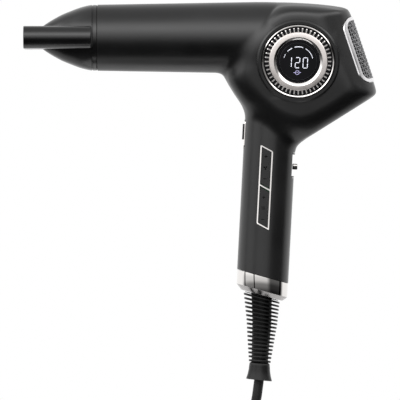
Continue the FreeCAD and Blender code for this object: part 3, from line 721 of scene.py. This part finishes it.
def combine(base, other, operation):
    """The base with another solid joined to it or cut from it; the other is used up."""
    change = base.modifiers.new("combine", "BOOLEAN")
    change.operation = operation
    change.solver = "EXACT"
    change.object = other
    apply_modifiers(base)
    bpy.data.objects.remove(other, do_unlink=True)


def nozzle_piece():
    nozzle = raw_object("nozzle_body", *dome_solid(0))
    combine(nozzle, raw_object("tongue", *tongue_solid(0, 0)), "UNION")
    hollow = raw_object("hollow", *dome_solid(NOZZLE_WALL))
    combine(hollow, raw_object("slot", *tongue_solid(NOZZLE_WALL, 4)), "UNION")
    combine(nozzle, hollow, "DIFFERENCE")
    for side in (-1, 1):
        low, high = sorted((side * 24.9, side * 40.0))
        outline = [(-140.25, low), (-138.7, low), (-138.7, high), (-140.25, high)]
        combine(nozzle, raw_object("recess", *prism(outline, -8.6, 8.6, BARREL)), "DIFFERENCE")
    nozzle.data.materials.append(NOZZLE_BLACK)
    nozzle.data.shade_smooth()
    nozzle.data.set_sharp_from_angle(angle=math.radians(28))
    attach(nozzle, "nozzle")
    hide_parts("nozzle_shell")


def barrel_seam():
    """The dark ring in the joint between barrel and nozzle collar."""
    outline = [(20.0, -138.6), (25.7, -138.6), (25.7, -133.6), (20.0, -133.6)]
    piece("barrel_seam", *turned(outline, BARREL, 128, "X"), INNER_BLACK, "dryer", (), "inner_black")


# --- dial and display
KNURL_INNER = 23.3
KNURL_OUTER = 27.1
KNURL_TEETH = 48
LENS_TOP = 2.3
TOOTH_SECTIONS = (  # radius, half width, top height
    (KNURL_INNER + 0.15, 0.42, 2.7),
    (KNURL_INNER + 0.4, 0.55, 2.9),
    (KNURL_OUTER - 0.9, 0.64, 2.9),
    (KNURL_OUTER - 0.4, 0.60, 2.6),
    (KNURL_OUTER - 0.1, 0.45, 1.9),
)


def tooth():
    foot, chamfer = 1.4, 0.2
    rings = []
    for radius, half, top in TOOTH_SECTIONS:
        rings.append(
            [
                (radius, -half, foot),
                (radius, -half, top - chamfer),
                (radius, -half * 0.8, top),
                (radius, half * 0.8, top),
                (radius, half, top - chamfer),
                (radius, half, foot),
            ]
        )
    return rings_to_mesh(rings)


def knurl_pieces():
    """The turning ring: a gloss black ring, painted shade in the knurl's grooves, bright teeth, the
    rose-silver face and its polished bevel.
    """
    outline = [
        (KNURL_INNER, -3.0),
        (KNURL_OUTER, -3.0),
        (KNURL_OUTER, 1.5),
        (KNURL_OUTER - 0.3, 1.8),
        (KNURL_INNER, 1.8),
    ]
    # The gloss black between the silver teeth is painted shade for the grooves of the metal knurl.
    piece("knurl_painted_shade_ring", *turned(outline, DIAL, 144), GLOSS_BLACK, "dial", ("dial_knurl",), "gloss_black")
    tooth_points, tooth_faces = tooth()
    teeth = []
    for number in range(KNURL_TEETH):
        place = DIAL @ turn(360.0 * number / KNURL_TEETH, "Z")
        teeth.append((in_place(tooth_points, place), tooth_faces))
    piece("knurl_teeth", *merged(teeth), SILVER, "dial", (), "silver_trim", 25)
    outline = [
        (KNURL_INNER, -3.0),
        (KNURL_INNER, 3.2),
        (KNURL_INNER - 0.3, 3.5),
        (21.4, 3.65),
        (19.5, 3.7),
        (19.4, -3.0),
    ]
    points, faces = turned(outline, DIAL, 192)
    piece("face_ring", points, faces, ROSE_SILVER, "dial", ("dial_face_ring",), "silver_trim", 30)
    outline = [(19.55, 3.2), (19.5, 3.74), (19.3, 3.68), (17.7, 2.62), (17.5, 2.4)]
    outline += [(17.5, -2.9), (19.3, -2.9)]
    piece("face_bevel", *turned(outline, DIAL, 192), SILVER, "dial", (), "silver_trim", 40)


def arc_bar(radius, half_width, start, end, low, high, steps=14):
    """A bar bent along an arc of the display, between two angles in degrees."""
    angles = np.radians(np.linspace(start, end, steps))
    outline = []
    for reach, order in ((radius - half_width, angles), (radius + half_width, angles[::-1])):
        outline += [(reach * math.cos(angle), reach * math.sin(angle)) for angle in order]
    rings = [[(x, y, height) for x, y in outline] for height in (low, high)]
    count = len(outline)
    points, faces = rings_to_mesh(rings, closed_ends=False)
    for number in range(steps - 1):
        other = count - 1 - number
        faces.append((number, number + 1, other - 1, other))
        faces.append((count + other, count + other - 1, count + number + 1, count + number))
    return in_place(points, DIAL), faces


def bar(start, end, half_width):
    """A lit segment: a thin bar with pointed ends on the display."""
    start, end = Vector(start), Vector(end)
    along = (end - start).normalized()
    across = Vector((-along.y, along.x)) * half_width
    tip = along * half_width
    outline = [start, start + tip + across, end - tip + across]
    outline += [end, end - tip - across, start + tip - across]
    return prism([tuple(point) for point in outline], LENS_TOP, LENS_TOP + 0.05, DIAL)


SEGMENTS = {"1": "bc", "2": "abged", "0": "abcdef"}


def digit_bars(figure, middle):
    half, rise, gap = 1.75, 4.1, 0.25
    corners = {
        "a": ((-half, rise), (half, rise)),
        "b": ((half, rise), (half, 0)),
        "c": ((half, 0), (half, -rise)),
        "d": ((-half, -rise), (half, -rise)),
        "e": ((-half, 0), (-half, -rise)),
        "f": ((-half, rise), (-half, 0)),
        "g": ((-half, 0), (half, 0)),
    }
    for name in SEGMENTS[figure]:
        start, end = (Vector(corner) for corner in corners[name])
        along = (end - start).normalized() * gap
        start, end = start + along, end - along
        lean = 0.05
        ends = [(middle[0] + point.x + lean * point.y, middle[1] + point.y) for point in (start, end)]
        yield bar(ends[0], ends[1], 0.28)


FIGURES = (("1", (-7.2, -0.6)), ("2", (-0.6, -1.0)), ("0", (5.6, -1.2)))
DASHES = ((166, 150, 0.14), (137, 115, 0.26), (104, 71, 0.28), (60, 12, 0.20))  # start, end, half width
DASH_RADIUS = 11.7
SIGN_HEIGHT = -8.9


def display_pieces():
    """The display: the number, the dashes over it, a generic sign, a thin rim and a dark bezel."""
    bars = []
    for figure, middle in FIGURES:
        bars += list(digit_bars(figure, middle))
    for start, end, half_width in DASHES:
        bars.append(arc_bar(DASH_RADIUS, half_width, end, start, LENS_TOP, LENS_TOP + 0.05))
    piece("display_figures", *merged(bars), DISPLAY_WHITE, "dryer", (), "gloss_black")
    sign = []
    for west, east, half_width in ((-3.9, -1.9, 0.22), (0.3, 2.3, 0.22)):
        sign.append(bar((west, SIGN_HEIGHT), (east, SIGN_HEIGHT), half_width))
    place = Matrix.Translation((-0.8, SIGN_HEIGHT, 0))
    for start in range(0, 360, 45):
        ring_points, ring_faces = arc_bar(1.55, 0.2, start, start + 45, LENS_TOP, LENS_TOP + 0.05, 6)
        moved = in_place(ring_points, DIAL @ place @ DIAL.inverted())
        sign.append((moved, ring_faces))
    sign.append(bar((-1.5, SIGN_HEIGHT), (-0.1, SIGN_HEIGHT), 0.2))
    piece("display_ion_sign", *merged(sign), DISPLAY_LILAC, "dryer", (), "gloss_black")
    rim_top = LENS_TOP + 0.04
    outline = [(14.85, LENS_TOP), (15.0, LENS_TOP), (15.0, rim_top), (14.85, rim_top)]
    piece("display_rim", *turned(outline, DIAL, 144), RIM_GREY, "dryer", (), "gloss_black")
    outline = [(15.5, 1.5), (17.3, 1.5), (17.3, 2.1), (17.1, 2.25), (15.5, 2.25)]
    piece("display_bezel", *turned(outline, DIAL, 144), GLOSS_BLACK, "dryer", (), "gloss_black")


# --- rear grille
WEAVE_RADIUS = REAR_RADIUS - 0.3
WEAVE_PITCH = 3.0
WEAVE_LIFT = 0.35  # how far each wire goes over and under its neighbours
WIRE_RADIUS = 0.42


def wire(path, thickness):
    """A wire of six sides along points, set square to the rear's round."""
    path = np.array(path, float)
    along = np.gradient(path, axis=0)
    along /= np.linalg.norm(along, axis=1)[:, None]
    out = path.copy()
    out[:, 0] += REAR_RADIUS
    out[:, 2] = 0
    out /= np.linalg.norm(out, axis=1)[:, None]
    across = np.cross(along, out)
    rings = []
    for number in range(len(path)):
        ring = []
        for step in range(6):
            angle = math.pi * step / 3
            spoke = math.cos(angle) * across[number] + math.sin(angle) * out[number]
            ring.append(path[number] + thickness * spoke)
        rings.append(ring)
    points, faces = rings_to_mesh(rings)
    return in_place(points, REAR), faces


def grille_reach(value, half_value, half_other, rounding):
    """How far a rounded window reaches the other way at one place."""
    beyond = abs(value) - (half_value - rounding)
    if beyond <= 0:
        return half_other
    return half_other - rounding + math.sqrt(max(rounding**2 - beyond**2, 0.0))


def weave_point(angle, height, lift):
    reach = WEAVE_RADIUS + lift
    return (-REAR_RADIUS + reach * math.cos(angle), reach * math.sin(angle), height)


def grille_piece():
    """The woven wire of the rear: level wires bent round the back, and upright ones through them."""
    half_across = WINDOW[0] - WINDOW_FRAME + 0.1
    half_up = WINDOW[1] - WINDOW_FRAME + 0.1
    rounding = WINDOW[2] - WINDOW_FRAME
    wires = []
    rows = int(half_up // WEAVE_PITCH)
    columns = int(math.asin(half_across / WEAVE_RADIUS) * WEAVE_RADIUS // WEAVE_PITCH)
    for row in range(-rows, rows + 1):
        height = row * WEAVE_PITCH
        reach = grille_reach(height, half_up, half_across, rounding)
        arc = math.asin(min(reach / WEAVE_RADIUS, 1)) * WEAVE_RADIUS
        path = []
        for place in np.linspace(-arc, arc, 2 * int(arc) + 1):
            lift = WEAVE_LIFT * math.cos(math.pi * (place / WEAVE_PITCH + row))
            path.append(weave_point(place / WEAVE_RADIUS, height, lift))
        wires.append(wire(path, WIRE_RADIUS))
    for column in range(-columns, columns + 1):
        angle = column * WEAVE_PITCH / WEAVE_RADIUS
        reach = grille_reach(WEAVE_RADIUS * math.sin(angle), half_across, half_up, rounding)
        path = []
        for height in np.linspace(-reach, reach, 2 * int(reach) + 1):
            lift = -WEAVE_LIFT * math.cos(math.pi * (height / WEAVE_PITCH + column))
            path.append(weave_point(angle, height, lift))
        wires.append(wire(path, WIRE_RADIUS))
    piece("grille_weave", *merged(wires), WEAVE, "filter", ("rear_grille_mesh",), "inner_black", 60)


# --- keys
def on_grip(outline, inner, outer):
    """A flat outline of (across, up) points, bent round the handle between two radii."""
    rings = []
    for radius in (inner, outer):
        rings.append([(x, -math.sqrt(radius**2 - x**2), z) for x, z in outline])
    points, faces = rings_to_mesh(rings)
    return in_place(points, PANEL), faces


def rounded_outline(corners, radii, steps=6):
    """A convex outline whose corners each have their own rounding."""
    corners = [Vector(corner) for corner in corners]
    outline = []
    for number, (corner, radius) in enumerate(zip(corners, radii)):
        back = (corners[number - 1] - corner).normalized()
        ahead = (corners[(number + 1) % len(corners)] - corner).normalized()
        half_angle = back.angle(ahead) / 2
        run = radius / math.tan(half_angle)
        start, end = corner + back * run, corner + ahead * run
        for step in range(steps + 1):
            share = step / steps
            first = start.lerp(corner, share)
            second = corner.lerp(end, share)
            outline.append(tuple(first.lerp(second, share)))
    return outline


def key_frame(bottom, top, radii):
    """One silver surround: an outer loop, and an inner one a rim's width inside it."""
    outer = rounded_outline(key_outline(bottom, top), radii)
    inner_corners = key_outline(bottom, top, -KEY_RIM)
    inner = rounded_outline(inner_corners, [max(radius - KEY_RIM, 0.3) for radius in radii])
    rings = []
    for outline, radius in ((inner, 19.4), (inner, 20.95), (outer, 21.0), (outer, 19.4)):
        rings.append([(x, -math.sqrt(radius**2 - x**2), z) for x, z in outline])
    points, faces = rings_to_mesh(rings, closed_ends=False)
    count = len(outer)
    for side in range(count):
        after = (side + 1) % count
        faces.append((3 * count + side, 3 * count + after, after, side))
    return in_place(points, PANEL), faces


SIGN_STROKES = {  # half width, low, high
    "less": ((1.3, -0.25, 0.25),),
    "more": ((1.3, -0.25, 0.25), (0.25, 0.25, 1.3), (0.25, -1.3, -0.25)),
}


def sign_outlines(kind, middle):
    """Generic marks on the keys: more, less, air and heat."""
    x, z = middle
    for half, low, high in SIGN_STROKES.get(kind, ()):
        yield [(x - half, z + low), (x + half, z + low), (x + half, z + high), (x - half, z + high)]
    if kind == "air":
        for blade in range(3):
            start = 2 * math.pi * blade / 3
            outline = [(x, z)]
            for angle, reach in ((0.0, 1.0), (0.35, 1.6), (0.8, 1.7), (1.15, 1.3)):
                turned_by = start + angle
                outline.append((x + reach * math.cos(turned_by), z + reach * math.sin(turned_by)))
            yield outline
    if kind == "heat":
        for shift in (-1.0, 0.0, 1.0):
            left, right = [], []
            for step in range(9):
                height = z - 1.4 + 2.8 * step / 8
                wave = x + shift + 0.22 * math.sin(2 * math.pi * step / 8)
                left.append((wave - 0.16, height))
                right.append((wave + 0.16, height))
            yield left + right[::-1]


KEY_CORNERS = (2.0, 0.6, 2.0, 0.8)  # rounding from the lower left corner round to the upper left
KEY_SIGNS = (
    ("upper_rocker", (("more", 38.6), ("air", 29.6), ("less", 20.8))),
    ("lower_rocker", (("more", 6.0), ("heat", -2.6), ("less", -11.6))),
)


def key_pieces():
    frames = [
        key_frame(PANEL_MIDDLE - KEY_RIM / 2, PANEL_TOP, KEY_CORNERS),
        key_frame(PANEL_BOTTOM, PANEL_MIDDLE + KEY_RIM / 2, KEY_CORNERS),
    ]
    piece("key_surround", *merged(frames), SILVER, "dryer", ("button_frame",), "silver_trim", 30)
    for body, signs in KEY_SIGNS:
        marks = []
        for kind, height in signs:
            for outline in sign_outlines(kind, (-0.3, height)):
                marks.append(on_grip(outline, 20.6, 20.8))
        piece(body + "_marks", *merged(marks), KEY_MARK, body, (), "gloss_black")


# --- slide switch and cap
def rounded_block(centre, halves, bevel, place):
    """A block with rounded edges, as points and faces in a region's frame."""
    form = bmesh.new()
    bmesh.ops.create_cube(form, size=2.0)
    bmesh.ops.scale(form, vec=halves, verts=form.verts)
    bmesh.ops.bevel(form, geom=form.edges[:], offset=bevel, segments=3, profile=0.5, affect="EDGES")
    points = np.array([tuple(vertex.co) for vertex in form.verts]) + np.array(centre)
    form.verts.index_update()
    faces = [tuple(vertex.index for vertex in face.verts) for face in form.faces]
    form.free()
    return in_place(points, place), faces


SLIDER_HEIGHT = 31.8


def slider_pieces():
    """The slide switch's knob with two ridges, and its silver band, at the bottom of its travel."""
    parts = [rounded_block((21.1, 0, SLIDER_HEIGHT), (1.95, 3.6, 2.3), 0.5, HANDLE)]
    for lift in (-1.4, -0.6):
        parts.append(rounded_block((23.0, 0, SLIDER_HEIGHT + lift), (0.25, 3.0, 0.22), 0.1, HANDLE))
    piece("slider_knob", *merged(parts), KEY_BLACK, "power_slider", ("power_slider",), "gloss_black")
    points, faces = rounded_block((21.25, 0, 32.75), (1.95, 3.7, 0.6), 0.2, HANDLE)
    piece("slider_band", points, faces, SILVER, "power_slider", (), "silver_trim")


CAP_BAND = ((18.0, -57.1), (20.5, -57.1), (20.7, -57.3), (20.7, -68.0), (20.55, -68.4))
CAP_CHAMFER = ((20.45, -68.0), (20.5, -68.5), (17.0, -71.9), (16.6, -72.2), (12.0, -72.2), (8.0, -72.2))


def cap_pieces():
    """The chrome cap: a leaning band, then a chamfer and underside in rougher chrome, darkened as painted
    shade.
    """
    slope = math.tan(math.radians(CAP_LEAN))

    def ring(radius, height):
        loop = []
        for side in range(160):
            angle = 2 * math.pi * side / 160
            x, y = radius * math.cos(angle), radius * math.sin(angle)
            loop.append((x, y, height - x * slope))
        return loop

    for name, levels, material, replaced in (
        ("cap_band", CAP_BAND, CAP_CHROME, ("end_cap",)),
        ("cap_chamfer", CAP_CHAMFER, SHADED_CHAMFER_CHROME, ()),
    ):
        points, faces = rings_to_mesh([ring(*level) for level in levels], closed_ends=False)
        piece(name, in_place(points, HANDLE), faces, material, "dryer", replaced, "silver_trim", 30)


# --- strain relief
RELIEF_ROUTE = (  # east, height, lean in degrees
    (-3.8, -73.5, 15.0),
    (-3.6, -93.3, 9.8),
    (-4.9, -117.0, 4.2),
    (-5.4, -127.0, 5.0),
    (-5.9, -140.0, 6.0),
)
RELIEF_FINS = 17
RELIEF_HEAD = ((-71.6, 0.01), (-71.7, 8.4), (-72.5, 8.6), (-72.6, 13.4), (-72.8, 13.8))
RELIEF_HEAD += ((-73.1, 13.8), (-73.3, 8.6))
RELIEF_SKIRT = ((-126.2, 7.4), (-126.9, 8.1), (-128.5, 8.3), (-132.0, 8.6), (-136.0, 9.3), (-139.0, 10.2))
RELIEF_SKIRT += ((-139.8, 10.4), (-140.0, 10.1), (-139.2, 9.6), (-138.0, 5.0), (-138.0, 0.01))


def relief_outline():
    """The relief's (height, radius) from the cap down: separate fins on a core, then a flared skirt."""
    first, last = -74.6, -124.8
    pitch = (first - last) / (RELIEF_FINS - 1)
    line = list(RELIEF_HEAD)
    for number in range(RELIEF_FINS):
        share = number / (RELIEF_FINS - 1)
        middle = first - pitch * number
        core = 8.4 - 1.8 * share
        fin = 14.8 - 6.0 * share
        edge = ((0.92, 0.0), (0.86, 0.35), (0.82, 0.92), (0.5, 1.0))
        for lift, reach in edge:
            line.append((middle + lift, core + (fin - core) * reach))
        for lift, reach in reversed(edge):
            line.append((middle - lift, core + (fin - core) * reach))
    return line + list(RELIEF_SKIRT)


def relief_piece():
    """The relief's rings, each set across the line that it bends along."""
    route = np.array(RELIEF_ROUTE)
    outline = relief_outline()
    rings = []
    for height, radius in outline:
        east = np.interp(-height, -route[:, 1], route[:, 0])
        lean = math.radians(np.interp(-height, -route[:, 1], route[:, 2]))
        ring = []
        for side in range(64):
            angle = 2 * math.pi * side / 64
            x, y = radius * math.cos(angle), radius * math.sin(angle)
            ring.append((east + x * math.cos(lean), y, height - x * math.sin(lean)))
        rings.append(ring)
    points, faces = rings_to_mesh(rings)
    return piece("cord_relief", points, faces, RUBBER, "dryer", ("strain_relief",), "rubber", 40)


# --- CAD nodes that stay, with their materials
MATT_NODES = ("barrel_front_ring", "outlet_grille", "nozzle_collar", "dial_bearing")
MATT_NODES += ("slide_switch", "cool_shot_switch")
STEEL_NODES = ("motor_shaft", "motor_stator", "motor_bearings", "rotor_magnet", "clamp_screws")
STEEL_NODES += ("ion_emitter", "motor_case", "motor_end_plate")
KEPT = {
    SOFT_BLACK: ("dial_collar", "slider_plate"),
    INNER_BLACK: MATT_NODES,
    SILVER: ("dial_trim_ring", "cool_shot_frame"),
    SATIN_SILVER: ("rear_grille_frame",),
    GLOSS_BLACK: ("display_lens",),
    KEY_BLACK: ("upper_rocker", "lower_rocker", "cool_shot_button"),
    RUBBER: ("motor_mounts", "cord_tie", "plug_body"),
    CORD_BLACK: ("inner_cord",),
    NICKEL: ("plug_pins",),
    STEEL: STEEL_NODES,
    COPPER: ("heater_coil",),
    FOAM: ("filter_foam",),
    MICA: ("heat_shield", "heater_frame"),
    BOARD: ("display_board", "rocker_board", "control_board"),
    DUCT: ("fan_duct", "impeller", "cord_clamp", "thermal_cutout", "ion_module"),
    WIRE: ("handle_wires",),
}


def dress_kept_nodes():
    for material, names in KEPT.items():
        for name in names:
            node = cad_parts[name]
            node.data.materials.clear()
            node.data.materials.append(material)


# --- floor, light and surroundings
FLOOR_MIDDLE = (-55.0, 80.0)
FLOOR_RADIUS = 205.0


def make_stage():
    """A pale round floor under the object, set back so that the blacks in front don't mirror it."""
    rings, sides = 16, 96
    points = [(*FLOOR_MIDDLE, FLOOR)]
    faces = []
    for ring in range(1, rings + 1):
        for side in range(sides):
            angle = 2 * math.pi * side / sides
            reach = FLOOR_RADIUS * ring / rings
            east = FLOOR_MIDDLE[0] + reach * math.cos(angle)
            north = FLOOR_MIDDLE[1] + reach * math.sin(angle)
            points.append((east, north, FLOOR))
    for side in range(sides):
        faces.append((0, 1 + side, 1 + (side + 1) % sides))
    for ring in range(rings - 1):
        start = 1 + ring * sides
        for side in range(sides):
            after = (side + 1) % sides
            faces.append((start + side, start + sides + side, start + sides + after, start + after))
    floor = mesh_object("floor", points, faces)
    floor.data.materials.append(plastic("floor_white", (0.80, 0.80, 0.80), 0.7, shift=0.01))


def grey_ramp(tree, height, stops, top):
    """Light levels over the height of the surroundings, as shares of the brightest."""
    node = new_node(tree, "ValToRGB", Fac=height)
    colours = node.color_ramp
    colours.interpolation = "EASE"
    while len(colours.elements) < len(stops):
        colours.elements.new(0.5)
    for element, (place, level) in zip(colours.elements, stops):
        element.position = (place + 1) / 2
        element.color = (level / top, level / top, level / top, 1)
    return node.outputs["Color"]


# Light levels by height, from -1 straight down to 1 straight up.
FRONT_LIGHT = ((-1.0, 0.20), (-0.8, 0.06), (-0.4, 0.05), (-0.22, 0.22), (-0.08, 0.75), (0.2, 1.9))
FRONT_LIGHT += ((0.5, 3.7), (0.68, 2.9), (0.85, 1.2), (1.0, 0.8))
BACK_LIGHT = ((-1.0, 0.30), (-0.8, 0.7), (-0.4, 1.0), (0.0, 1.1), (0.5, 1.0), (1.0, 0.7))
BRIGHTEST = 4.0
# Narrow dark strips: degrees to the right of the front, and half their width.
FLAGS = ((-88.0, 3.0), (-40.0, 2.5), (86.0, 5.0))
FLAG_DARKNESS = 0.97
RIGHT_DARKNESS = 0.85


def make_world():
    """White to the eye; to surfaces a soft band high in front, dark low and right, and white behind."""
    world = bpy.data.worlds.new("studio")
    bpy.context.scene.world = world
    world.use_nodes = True
    tree = world.node_tree
    tree.nodes.clear()

    def math_node(kind, *entries):
        node = tree.nodes.new("ShaderNodeMath")
        node.operation = kind
        for socket, entry in zip(node.inputs, entries):
            if isinstance(entry, (int, float)):
                socket.default_value = entry
            else:
                tree.links.new(entry, socket)
        return node.outputs[0]

    def step_between(value, low, high):
        node = new_node(tree, "MapRange", From_Min=low, From_Max=high, Value=value)
        node.interpolation_type = "SMOOTHSTEP"
        return node.outputs["Result"]

    def mixed(share, first, second):
        return new_node(tree, "Mix", Factor=share, A=first, B=second).outputs["Result"]

    split = tree.nodes.new("ShaderNodeSeparateXYZ")
    tree.links.new(new_node(tree, "TexCoord").outputs["Generated"], split.inputs[0])
    east, north, up = split.outputs
    height = math_node("MULTIPLY_ADD", up, 0.5, 0.5)
    levels = []
    for stops in (FRONT_LIGHT, BACK_LIGHT):
        shares = grey_ramp(tree, height, stops, BRIGHTEST)
        levels.append(math_node("MULTIPLY", shares, BRIGHTEST))
    shade = math_node("MULTIPLY", step_between(east, 0.25, 0.6), step_between(up, 0.6, 0.3))
    kept = math_node("MULTIPLY_ADD", shade, -RIGHT_DARKNESS, 1.0)
    azimuth = math_node("ARCTAN2", east, math_node("MULTIPLY", north, -1.0))
    level_zone = step_between(math_node("ABSOLUTE", up), 0.5, 0.3)
    for degrees, half_width in FLAGS:
        apart = math_node("ABSOLUTE", math_node("SUBTRACT", azimuth, math.radians(degrees)))
        near = step_between(apart, math.radians(half_width + 1), math.radians(half_width - 1))
        strip = math_node("MULTIPLY", near, level_zone)
        passed = math_node("MULTIPLY_ADD", strip, -FLAG_DARKNESS, 1.0)
        kept = math_node("MULTIPLY", kept, passed)
    front = math_node("MULTIPLY", levels[0], kept)
    level = mixed(step_between(north, 0.0, 0.3), front, levels[1])
    to_camera = new_node(tree, "LightPath").outputs["Is Camera Ray"]
    background = new_node(tree, "Background", Color=(1, 1, 1, 1), Strength=mixed(to_camera, level, 1.0))
    output = tree.nodes.new("ShaderNodeOutputWorld")
    tree.links.new(background.outputs[0], output.inputs[0])


# --- the build
make_camera()
make_cord(relief_piece())
casing_pieces()
nozzle_piece()
knurl_pieces()
display_pieces()
grille_piece()
key_pieces()
barrel_seam()
slider_pieces()
cap_pieces()
dress_kept_nodes()
make_stage()
make_world()
bpy.context.scene.view_settings.view_transform = "Standard"
